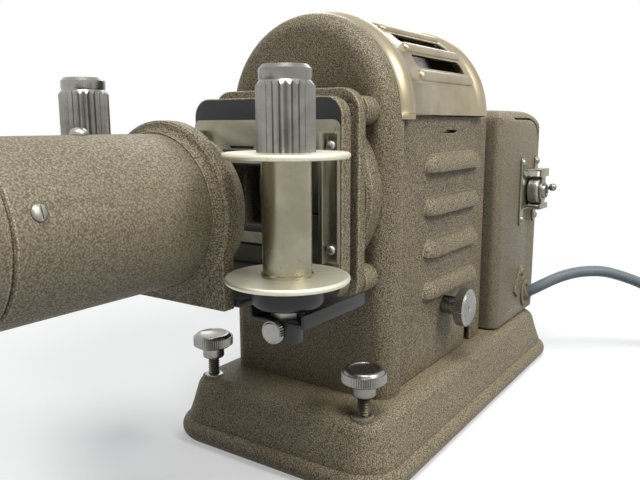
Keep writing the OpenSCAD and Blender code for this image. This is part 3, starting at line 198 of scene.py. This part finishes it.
def make_wrinkle_group():
    """Baked wrinkle enamel: crests and pits half a millimetre across, the crests lighter as painted highlight and
    the pits darker as painted shade, in faint wide patches.
    """
    s, given, out = new_group("wrinkle_enamel", [
        ("Crest_painted_highlight", "Color", srgb(174, 162, 133)), ("Ground", "Color", srgb(128, 118, 95)),
        ("Pit_painted_shade", "Color", srgb(78, 70, 54)), ("Grain", "Float", 2300.0),
    ], FINISH_OUTPUTS)
    place = s.node("ShaderNodeTexCoord").outputs["Object"]
    fine = s.noise(place, given.outputs["Grain"], 2.5, 0.6, 0.8)
    cells = s.node("ShaderNodeTexVoronoi", {"feature": "SMOOTH_F1"})
    s.put(cells, "Vector", place)
    s.put(cells, "Scale", s.math("MULTIPLY", given.outputs["Grain"], 0.85))
    s.put(cells, "Smoothness", 0.5)
    lumps = s.math("SUBTRACT", 0.9, cells.outputs["Distance"])
    height = s.math("ADD", s.math("MULTIPLY", fine, FINE_SHARE), s.math("MULTIPLY", lumps, LUMP_SHARE))
    # The pits take a darker colour as painted shade, and the crests a lighter one as painted highlight.
    dark = s.mix(s.ramp(height, PIT_HEIGHT, GROUND_HEIGHT), given.outputs["Pit_painted_shade"], given.outputs["Ground"])
    lit = s.mix(s.ramp(height, GROUND_HEIGHT, CREST_HEIGHT), dark, given.outputs["Crest_painted_highlight"])
    patches = s.ramp(s.noise(place, 14.0, 3.0, 0.6), 0.3, 0.7, 0.93, 1.06)
    grey = s.node("ShaderNodeCombineColor")
    for channel in ("Red", "Green", "Blue"):
        s.put(grey, channel, patches)
    s.put(out, "Colour", s.mix(1.0, lit, grey.outputs[0], "MULTIPLY"))
    s.put(out, "Height", height)
    s.put(out, "Roughness", s.ramp(height, PIT_HEIGHT, CREST_HEIGHT, 0.72, 0.42))
    return s.tree


def make_metal_group():
    """Drawn or turned metal: fine streaks along one way, cloudy tarnish and small stains."""
    s, given, out = new_group("metal_grain", [
        ("Clean", "Color", srgb(200, 198, 185)), ("Tarnish", "Color", srgb(150, 142, 118)),
        ("Stretch", "Vector", (1.0, 1.0, 1.0)), ("Streaks", "Float", 600.0), ("Gloss", "Float", 0.28),
        ("Cloud", "Float", 0.6),
    ], FINISH_OUTPUTS)
    place = s.node("ShaderNodeTexCoord").outputs["Object"]
    along = s.node("ShaderNodeMapping")
    s.put(along, "Vector", place)
    s.put(along, "Scale", given.outputs["Stretch"])
    streaks = s.noise(along.outputs[0], given.outputs["Streaks"], 3.0, 0.65)
    clouds = s.ramp(s.noise(place, 42.0, 4.0, 0.6, 0.4), 0.38, 0.72)
    specks = s.ramp(s.noise(place, 900.0, 1.0, 0.5), 0.66, 0.78)
    stain = s.math("MULTIPLY", s.math("ADD", clouds, s.math("MULTIPLY", specks, 0.5), True), given.outputs["Cloud"])
    s.put(out, "Colour", s.mix(stain, given.outputs["Clean"], given.outputs["Tarnish"]))
    s.put(out, "Height", s.math("ADD", s.math("MULTIPLY", streaks, 0.8), s.math("MULTIPLY", specks, 0.4)))
    rough = s.math("ADD", given.outputs["Gloss"], s.math("MULTIPLY", streaks, 0.12))
    s.put(out, "Roughness", s.math("ADD", rough, s.math("MULTIPLY", stain, 0.14), True))
    return s.tree


def make_scuff_group():
    """Dust and small scratches over black enamel, plastic and rubber."""
    s, given, out = new_group("dust_and_scratches", [
        ("Base", "Color", srgb(30, 30, 30)), ("Dust", "Color", srgb(120, 115, 105)), ("Amount", "Float", 0.3),
        ("Gloss", "Float", 0.4),
    ], FINISH_OUTPUTS)
    place = s.node("ShaderNodeTexCoord").outputs["Object"]
    clouds = s.ramp(s.noise(place, 60.0, 4.0, 0.65, 0.5), 0.42, 0.8)
    grains = s.ramp(s.noise(place, 1500.0, 2.0, 0.6), 0.56, 0.72)
    dusty = s.math("MULTIPLY", s.math("MAXIMUM", clouds, s.math("MULTIPLY", grains, 0.7)), given.outputs["Amount"])
    s.put(out, "Colour", s.mix(dusty, given.outputs["Base"], given.outputs["Dust"]))
    s.put(out, "Height", grains)
    s.put(out, "Roughness", s.math("ADD", given.outputs["Gloss"], s.math("MULTIPLY", dusty, 0.35), True))
    return s.tree


WRINKLE = make_wrinkle_group()
METAL = make_metal_group()
SCUFF = make_scuff_group()


def new_material(name, group, values, relief, metallic=0.0):
    """A finish whose colour, roughness and bump come from a shared group. relief is in millimetres."""
    material = bpy.data.materials.new(name)
    material.use_nodes = True
    s = Shader(material.node_tree)
    surface = material.node_tree.nodes["Principled BSDF"]
    pattern = s.node("ShaderNodeGroup", {"node_tree": group})
    for title, value in values.items():
        pattern.inputs[title].default_value = value
    bump = s.node("ShaderNodeBump")
    bump.inputs["Strength"].default_value = 1.0
    bump.inputs["Distance"].default_value = relief * MM
    s.put(bump, "Height", pattern.outputs["Height"])
    s.put(surface, "Base Color", pattern.outputs["Colour"])
    s.put(surface, "Roughness", pattern.outputs["Roughness"])
    s.put(surface, "Normal", bump.outputs[0])
    surface.inputs["Metallic"].default_value = metallic
    return material


def new_glass(name, colour, roughness, ior):
    material = bpy.data.materials.new(name)
    material.use_nodes = True
    surface = material.node_tree.nodes["Principled BSDF"]
    surface.inputs["Base Color"].default_value = colour
    surface.inputs["Roughness"].default_value = roughness
    surface.inputs["Transmission Weight"].default_value = 1.0
    surface.inputs["IOR"].default_value = ior
    return material


enamel = new_material("wrinkle_enamel_brown", WRINKLE, {}, 0.16)
# Rounded edges: lighter enamel for worn paint, and painted highlight where the edges catch the light.
enamel_edge_wear_and_highlight = new_material("enamel_worn_edge_painted_highlight", WRINKLE, {
    "Crest_painted_highlight": srgb(204, 192, 170), "Ground": srgb(160, 148, 128), "Pit_painted_shade": srgb(104, 94, 80)}, 0.12)
lens_enamel = new_material("lens_enamel_fine", WRINKLE, {
    "Crest_painted_highlight": srgb(152, 142, 120), "Ground": srgb(128, 119, 98), "Pit_painted_shade": srgb(98, 90, 73), "Grain": 2000.0}, 0.12)
box_enamel = new_material("box_enamel_smooth", WRINKLE, {
    "Crest_painted_highlight": srgb(150, 140, 119), "Ground": srgb(128, 119, 99), "Pit_painted_shade": srgb(100, 92, 75), "Grain": 2200.0}, 0.07)
nickel_cover = new_material("cover_nickel", METAL, {
    "Clean": srgb(170, 160, 136), "Tarnish": srgb(132, 120, 92), "Stretch": (1.0, 0.08, 1.0), "Streaks": 1400.0,
    "Gloss": 0.26, "Cloud": 0.5}, 0.01, 1.0)
flange_nickel = new_material("flange_nickel_satin", METAL, {
    "Clean": srgb(218, 216, 198), "Tarnish": srgb(184, 179, 156), "Streaks": 1800.0, "Gloss": 0.42, "Cloud": 0.5},
    0.02, 1.0)
satin_nickel = new_material("spool_nickel_satin", METAL, {
    "Clean": srgb(158, 154, 134), "Tarnish": srgb(122, 117, 96), "Stretch": (1.0, 1.0, 0.15), "Streaks": 2200.0,
    "Gloss": 0.16, "Cloud": 0.6}, 0.015, 1.0)
gate_nickel = new_material("gate_nickel", METAL, {
    "Clean": srgb(152, 149, 132), "Tarnish": srgb(112, 107, 88), "Stretch": (0.1, 1.0, 1.0), "Streaks": 1600.0,
    "Gloss": 0.26, "Cloud": 0.7}, 0.01, 1.0)
aluminium = new_material("knob_aluminium", METAL, {
    "Clean": srgb(154, 153, 148), "Tarnish": srgb(96, 94, 88), "Streaks": 1800.0, "Gloss": 0.2, "Cloud": 0.6},
    0.03, 1.0)
steel = new_material("screw_steel", METAL, {
    "Clean": srgb(176, 174, 168), "Tarnish": srgb(112, 104, 92), "Streaks": 1200.0, "Gloss": 0.3, "Cloud": 0.7},
    0.03, 1.0)
# The elevating screws' threads: dark steel, darkened further as painted shade.
thread_steel_and_shade = new_material("thread_steel_dark_painted_shade", METAL, {
    "Clean": srgb(112, 106, 96), "Tarnish": srgb(58, 52, 44), "Streaks": 1200.0, "Gloss": 0.34, "Cloud": 0.9},
    0.02, 1.0)
brass = new_material("contact_brass", METAL, {
    "Clean": srgb(214, 178, 104), "Tarnish": srgb(150, 116, 60), "Streaks": 1200.0, "Gloss": 0.26, "Cloud": 0.6},
    0.02, 1.0)
mirror = new_material("reflector_silver", METAL, {
    "Clean": srgb(236, 236, 236), "Tarnish": srgb(206, 204, 198), "Streaks": 700.0, "Gloss": 0.03, "Cloud": 0.3},
    0.005, 1.0)
black_enamel = new_material("gate_black_enamel", SCUFF, {
    "Base": srgb(11, 12, 13), "Dust": srgb(58, 56, 52), "Amount": 0.2, "Gloss": 0.42}, 0.02)
# Near-black for parts set deep in recesses: their black finish, deepened as painted shadow.
black_and_painted_shadow = new_material("shadow_black", SCUFF, {
    "Base": srgb(13, 13, 12), "Dust": srgb(52, 48, 43), "Amount": 0.25, "Gloss": 0.6}, 0.02)
bakelite = new_material("socket_bakelite", SCUFF, {
    "Base": srgb(38, 28, 22), "Dust": srgb(96, 84, 72), "Amount": 0.35, "Gloss": 0.3}, 0.02)
rubber = new_material("cord_rubber_grey", SCUFF, {
    "Base": srgb(104, 113, 121), "Dust": srgb(142, 148, 152), "Amount": 0.45, "Gloss": 0.46}, 0.04)
pad_rubber = new_material("pad_rubber_black", SCUFF, {
    "Base": srgb(34, 33, 32), "Dust": srgb(88, 84, 78), "Amount": 0.4, "Gloss": 0.7}, 0.05)
lamp_grey = new_material("lamp_cap_grey", SCUFF, {
    "Base": srgb(150, 145, 145), "Dust": srgb(184, 178, 174), "Amount": 0.5, "Gloss": 0.5}, 0.03)
lens_glass = new_glass("lens_glass", srgb(235, 240, 246), 0.02, 1.52)


# Finished pieces made from the CAD shapes


MERGE_DISTANCE = 0.004 * MM
FLAT_ANGLE = math.radians(0.6)
SMOOTH_ANGLE = math.radians(34.0)


def is_sharp(e):
    return e.is_manifold and e.calc_face_angle(0) > SMOOTH_ANGLE


def softened(node, finishes, edge, pick=None, reshape=None):
    """The shape of a CAD node, merged and smooth, with its edges rounded by that many millimetres.

    reshape moves points, and pick gives the number of a face's finish. Rounded edges take the last finish.
    """
    shape = bmesh.new()
    shape.from_mesh(nodes[node].data)
    bmesh.ops.remove_doubles(shape, verts=shape.verts, dist=MERGE_DISTANCE)
    bmesh.ops.dissolve_limit(shape, angle_limit=FLAT_ANGLE, use_dissolve_boundaries=False,
                             verts=shape.verts, edges=shape.edges, delimit=set())
    if reshape:
        reshape(shape)
    for face in shape.faces:
        face.material_index = pick(face) if pick else 0
    if edge:
        sharp = [e for e in shape.edges if is_sharp(e)]
        made = bmesh.ops.bevel(shape, geom=sharp, offset=edge * MM, offset_type="OFFSET", segments=2, profile=0.5,
                               affect="EDGES", clamp_overlap=False, material=-1)
        if len(finishes) > 1:
            for face in made["faces"]:
                face.material_index = len(finishes) - 1
    return add_piece(node + "_finished", shape, finishes, node)


def add_piece(name, shape, finishes, node):
    """Makes an object of a bmesh, smooth but for its sharp edges, in the place of its CAD node."""
    for face in shape.faces:
        face.smooth = True
    for e in shape.edges:
        e.smooth = not is_sharp(e)
    data = bpy.data.meshes.new(name)
    shape.to_mesh(data)
    shape.free()
    piece = bpy.data.objects.new(name, data)
    bpy.context.scene.collection.objects.link(piece)
    for finish in finishes:
        data.materials.append(finish)
    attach(piece, node_body[node])
    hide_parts(node)
    return piece


def above(height):
    """Gives the second finish to the faces above a height."""
    return lambda face: 1 if face.calc_center_median().z > height else 0


def facing_front(face):
    return 1 if face.normal.y < -0.9 else 0


def top_of(node):
    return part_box(node)[1][2]


# The top cover's plate, where it has ribs, and the share of a rib's height that the scene keeps
COVER_R = 42.0 * MM
ARCH_Z = 147.0 * MM
RIB_SPAN = (-54.0 * MM, 10.0 * MM)
RIB_SHARE = 0.62


def sink_ribs(shape):
    """Lets the ribs between the cover's slots stand out less, as pressed sheet does."""
    for point in shape.verts:
        out = math.hypot(point.co.x, point.co.z - ARCH_Z)
        if point.co.z > ARCH_Z and RIB_SPAN[0] < point.co.y < RIB_SPAN[1] and out > COVER_R:
            share = (COVER_R + (out - COVER_R) * RIB_SHARE) / out
            point.co.x *= share
            point.co.z = ARCH_Z + (point.co.z - ARCH_Z) * share


# The knob of a spool starts at its upper flange, and an elevating screw is bright down to its shoulder
HEAD_AND_SHOULDER = 12.2 * MM
knob_faces = above(top_of("spool_flanges_right"))
head_faces = above(top_of("elevating_screw_right") - HEAD_AND_SHOULDER)

PAINTED = [enamel, enamel_edge_wear_and_highlight]
FINISHES = {
    # node: (finishes, width of the rounded edge in millimetres, rule for a face's finish, change of shape)
    "base_pan": (PAINTED, 0),
    "front_shell": (PAINTED, 0.3),
    "side_panel_right": (PAINTED, 0.25),
    "side_panel_left": (PAINTED, 0.25),
    "rear_wall": (PAINTED, 0.25),
    "condenser_barrel": (PAINTED, 0.3),
    "mounting_posts": (PAINTED, 0.3),
    "rear_plate": (PAINTED, 0.6),
    "lens_bracket": (PAINTED, 0.4),
    "lens_sleeve": ([lens_enamel, enamel_edge_wear_and_highlight], 0.25),
    "focus_ring": ([lens_enamel, enamel_edge_wear_and_highlight], 0.3),
    "blower_box": ([box_enamel, enamel_edge_wear_and_highlight], 0.3),
    "back_cover": ([box_enamel, enamel_edge_wear_and_highlight], 0.3),
    "top_cover": ([nickel_cover], 0.2, None, sink_ribs),
    "hinge_leaf": ([nickel_cover], 0.2),
    "gate_plate": ([gate_nickel], 0.2),
    "film_guides": ([gate_nickel], 0.2),
    "pressure_springs": ([satin_nickel], 0),
    "cord_clamp": (PAINTED, 0.15),
    "spool_core_right": ([satin_nickel, aluminium], 0, knob_faces),
    "spool_core_left": ([satin_nickel, aluminium], 0, knob_faces),
    "spool_flanges_right": ([flange_nickel], 0),
    "spool_flanges_left": ([flange_nickel], 0),
    "spool_spindles": ([steel], 0.2),
    "elevating_screw_right": ([thread_steel_and_shade, aluminium], 0, head_faces),
    "elevating_screw_left": ([thread_steel_and_shade, aluminium], 0, head_faces),
    "panel_screw": ([aluminium], 0),
    "brake_screws": ([aluminium], 0),
    "switch_body": ([aluminium], 0.2),
    "switch_lever": ([aluminium], 0),
    "switch_bracket": ([gate_nickel], 0.15),
    "screw_bushings": ([steel], 0),
    "deck_screws": ([steel], 0),
    "hinge_pin": ([steel], 0.2),
    "gate_screws": ([steel], 0),
    "lens_screws": ([steel], 0),
    "pressure_studs": ([steel], 0),
    "socket_bracket": ([steel], 0.2),
    "blower_motor": ([steel], 0.4),
    "fan_wheel": ([steel], 0),
    "reflector": ([mirror], 0),
    "lamp_base": ([brass], 0.2),
    "lamp_socket": ([bakelite], 0.3),
    "spool_seats": ([black_enamel, gate_nickel], 0.3),
    "spool_arms": ([black_enamel], 0.3),
    "head_shelf": ([black_enamel], 0.3),
    "channel_rails": ([black_and_painted_shadow], 0.2),
    "pressure_plate": ([black_and_painted_shadow], 0.3),
    "lens_cell": ([black_and_painted_shadow], 0.2),
    "duct_collar": ([black_and_painted_shadow], 0.2),
    "bottom_plate": ([black_enamel], 0.2),
    "swivel_pad_right": ([pad_rubber], 0),
    "swivel_pad_left": ([pad_rubber], 0),
    "front_plate": ([enamel, black_enamel, enamel_edge_wear_and_highlight], 0.5, facing_front),
    "condenser_lenses": ([lens_glass], 0),
    "objective_lenses": ([lens_glass], 0),
    "lamp_bulb": ([lamp_grey], 0),
}
for node_name, choices in FINISHES.items():
    softened(node_name, *choices)


# Mains lead


def smooth_route(points, steps):
    """Points of a smooth curve through the given points."""
    given = [Vector(p) for p in points]
    ends = [2 * given[0] - given[1]] + given + [2 * given[-1] - given[-2]]
    made = []
    for i in range(1, len(ends) - 2):
        a, b, c, d = ends[i - 1:i + 3]
        for k in range(steps):
            t = k / steps
            made.append(0.5 * (2 * b + (c - a) * t + (2 * a - 5 * b + 4 * c - d) * t ** 2
                               + (3 * b - a - 3 * c + d) * t ** 3))
    return made + [given[-1]]


def coil_point(t):
    """Place on the stored coil after t turns: inwards on top, then outwards underneath."""
    if t < COIL_TURNS:
        radius = COIL_R - COIL_PITCH * t
    elif t < COIL_TURNS + COIL_HALF:
        s = t - COIL_TURNS
        radius = COIL_R - COIL_PITCH * (COIL_TURNS + s * (1 - s / COIL_HALF))
    else:
        radius = COIL_R - COIL_PITCH * (2 * COIL_TURNS + COIL_HALF - t)
    share = min(max((COIL_TURNS + COIL_HALF - t) / COIL_HALF, 0), 1)
    height = COIL_FLOOR + COIL_PITCH * share * share * (3 - 2 * share)
    angle = math.radians(90 - 360 * t)
    centre = Vector((LEAD_ROUTE[-1][0] + CORD_D, LEAD_ROUTE[-1][1] - COIL_R, 0))
    return centre + Vector((radius * math.cos(angle), radius * math.sin(angle), height))


def cord_line():
    """The cord's middle line in millimetres: the lead, the stored coil and the end laid over it."""
    total = 2 * COIL_TURNS + COIL_HALF
    count = round(total * COIL_STEPS)
    turns = [coil_point(i * total / count) for i in range(1, count + 1)]
    way = (coil_point(total) - coil_point(total - 0.002)).normalized()
    way.z = 0
    rise = TAIL - CORD_D
    tail = []
    for i in range(1, TAIL_STEPS + 1):
        share = i / TAIL_STEPS
        lift = Vector((0, 0, COIL_PITCH * share * share * (3 - 2 * share)))
        tail.append(turns[-1] + way * (rise * share) + lift)
    tail.append(turns[-1] + way * TAIL + Vector((0, 0, COIL_PITCH)))
    start = Vector(LEAD_ROUTE[-1])
    return smooth_route(LEAD_ROUTE, LEAD_STEPS) + [start + Vector((CORD_D, 0, 0))] + turns + tail


def make_cord():
    points = cord_line()
    data = bpy.data.curves.new("mains_cord", "CURVE")
    data.dimensions = "3D"
    data.bevel_depth = CORD_D / 2 * MM
    data.bevel_resolution = 4
    data.use_fill_caps = True
    line = data.splines.new("POLY")
    line.points.add(len(points) - 1)
    for point, place in zip(line.points, points):
        point.co = (place.x * MM, place.y * MM, place.z * MM, 1)
    line.use_smooth = True
    data.materials.append(rubber)
    cord = bpy.data.objects.new("mains_cord", data)
    bpy.context.scene.collection.objects.link(cord)
    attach(cord, node_body["cord_lead"])
    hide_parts("cord_lead", "cord_coil")
    return cord, points


mains_cord, cord_points = make_cord()
plug_piece = softened("plug", [rubber], 0.3)


# Floor, world and lamps

FLOOR_HALF = 6.0
FLOOR_SHOWN = srgb(246, 248, 251)
FLOOR_BOUNCE = srgb(128, 130, 134)
# Between these distances the floor turns to the background's white, starting part of the way there
FLOOR_FADE = (0.14, 0.5)
FLOOR_FADE_START = 0.35
WORLD_TINT = srgb(214, 216, 220)
WORLD_LIGHT = 0.22
WHITE = (1.0, 1.0, 1.0, 1.0)

LAMPS = {
    # name: (place, what it points at, size, watts, colour)
    "key": ((0.28, -0.45, 1.3), (0, -0.05, 0.08), (0.5, 0.5), 12.0, (1.0, 0.98, 0.94)),
    "side": ((0.95, -0.02, 0.9), (0, 0.02, 0.1), (0.45, 0.45), 9.0, (1.0, 0.98, 0.95)),
    "back": ((-0.5, 1.0, 0.9), (0, 0.05, 0.08), (0.9, 0.5), 4.0, (0.96, 0.98, 1.0)),
}


def shown_ray(s):
    """1 where the camera looks, also by metal or glass, and 0 for the light on the object."""
    path = s.node("ShaderNodeLightPath")
    mirrored = s.math("ADD", path.outputs["Is Glossy Ray"], path.outputs["Is Transmission Ray"])
    return s.math("ADD", path.outputs["Is Camera Ray"], mirrored, True)


def make_floor():
    shape = bmesh.new()
    bmesh.ops.create_grid(shape, x_segments=1, y_segments=1, size=FLOOR_HALF)
    data = bpy.data.meshes.new("floor")
    shape.to_mesh(data)
    shape.free()
    floor = bpy.data.objects.new("floor", data)
    bpy.context.scene.collection.objects.link(floor)
    material = bpy.data.materials.new("floor_paper")
    material.use_nodes = True
    s = Shader(material.node_tree)
    surface = material.node_tree.nodes["Principled BSDF"]
    surface.inputs["Roughness"].default_value = 0.8
    place = s.node("ShaderNodeTexCoord").outputs["Object"]
    distance = s.node("ShaderNodeVectorMath", {"operation": "LENGTH"})
    s.put(distance, 0, place)
    far = s.ramp(distance.outputs["Value"], *FLOOR_FADE, FLOOR_FADE_START)
    shown = shown_ray(s)
    s.put(surface, "Base Color", s.mix(shown, FLOOR_BOUNCE, FLOOR_SHOWN))
    blend = s.node("ShaderNodeMixShader")
    s.put(blend, 0, s.math("MULTIPLY", far, shown))
    s.put(blend, 1, surface.outputs[0])
    s.put(blend, 2, s.node("ShaderNodeEmission").outputs[0])
    s.put(material.node_tree.nodes["Material Output"], "Surface", blend.outputs[0])
    data.materials.append(material)


def make_world():
    world = bpy.data.worlds.new("studio")
    world.use_nodes = True
    bpy.context.scene.world = world
    s = Shader(world.node_tree)
    background = world.node_tree.nodes["Background"]
    shown = shown_ray(s)
    s.put(background, "Color", s.mix(shown, WORLD_TINT, WHITE))
    strength = s.node("ShaderNodeMapRange")
    s.put(strength, "Value", shown)
    s.put(strength, "To Min", WORLD_LIGHT)
    s.put(background, "Strength", strength.outputs["Result"])


def add_lamp(name, place, aim, size, power, colour):
    data = bpy.data.lights.new(name, "AREA")
    data.shape = "RECTANGLE"
    data.size, data.size_y = size
    data.energy = power
    data.color = colour
    lamp = bpy.data.objects.new(name, data)
    bpy.context.scene.collection.objects.link(lamp)
    lamp.location = place
    lamp.rotation_euler = (Vector(aim) - Vector(place)).to_track_quat("-Z", "Y").to_euler()


make_floor()
make_world()
for lamp_name, row in LAMPS.items():
    add_lamp(lamp_name, *row)

bpy.context.scene.view_settings.view_transform = "Standard"
